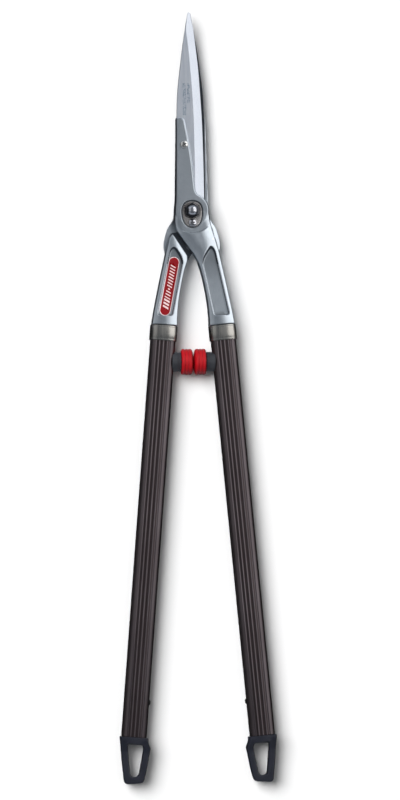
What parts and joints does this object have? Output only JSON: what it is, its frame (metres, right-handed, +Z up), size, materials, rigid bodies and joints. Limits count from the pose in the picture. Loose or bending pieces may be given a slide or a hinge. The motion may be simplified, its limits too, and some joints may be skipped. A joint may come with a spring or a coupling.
{
  "type": "hedge shears",
  "caption": "Long-handled hedge shears with bevelled steel blades, cast holders, a central pivot, oval tube handles, rubber bumpers and hanging loops.",
  "frame": {"origin": "bottom centre of the closed tool lying flat on its back", "axes": "+Y along the tool towards the blade tips, +X to the right with the nut's side up, +Z up along the pivot axis"},
  "size_m": [0.1512, 0.7472, 0.0281],
  "materials": {
    "cast_aluminium": "satin, finely blasted die casting",
    "blade_steel": "ground",
    "collar_steel": "satin, warm grey",
    "brown_anodised_tube": "dark brown anodised",
    "red_rubber": "smooth",
    "bumper_plastic": "matte",
    "cap_plastic": "fine texture",
    "red_label": "printed, domed",
    "bronze": "sintered, oiled",
    "lock_plate_steel": "blackened, worn",
    "chromed_nut": "polished",
    "bright_steel": "zinc plated",
    "black_steel": "blackened, satin"
  },
  "bodies": {
    "lower_half": {"lower_holder": "cast_aluminium", "lower_blade": "blade_steel", "lower_blade_screw": "bright_steel", "left_collar": "collar_steel", "left_handle_tube": "brown_anodised_tube", "left_bumper_pad": "red_rubber", "left_bumper_stud": "bright_steel", "left_bumper_stem": "bumper_plastic", "left_end_cap": "cap_plastic", "left_end_cap_screw": "black_steel", "pivot_bush": "bronze", "left_label": "red_label"},
    "upper_half": {"upper_holder": "cast_aluminium", "upper_blade": "blade_steel", "upper_blade_screw": "bright_steel", "right_collar": "collar_steel", "right_handle_tube": "brown_anodised_tube", "right_bumper_pad": "red_rubber", "right_bumper_stud": "bright_steel", "right_bumper_stem": "bumper_plastic", "right_end_cap": "cap_plastic", "right_end_cap_screw": "black_steel", "pivot_bolt": "bright_steel", "pivot_nut": "chromed_nut", "nut_lock_plate": "lock_plate_steel", "lock_plate_screw": "bright_steel", "spring_washer": "bright_steel", "thrust_washer": "bronze"}
  },
  "joints": [
    {"name": "handle_pivot", "type": "hinge", "parent": "lower_half", "child": "upper_half", "pos_m": [0, 0.18023, 0.0125], "axis": [0, 0, 1], "range_deg": [0, 75]}
  ]
}
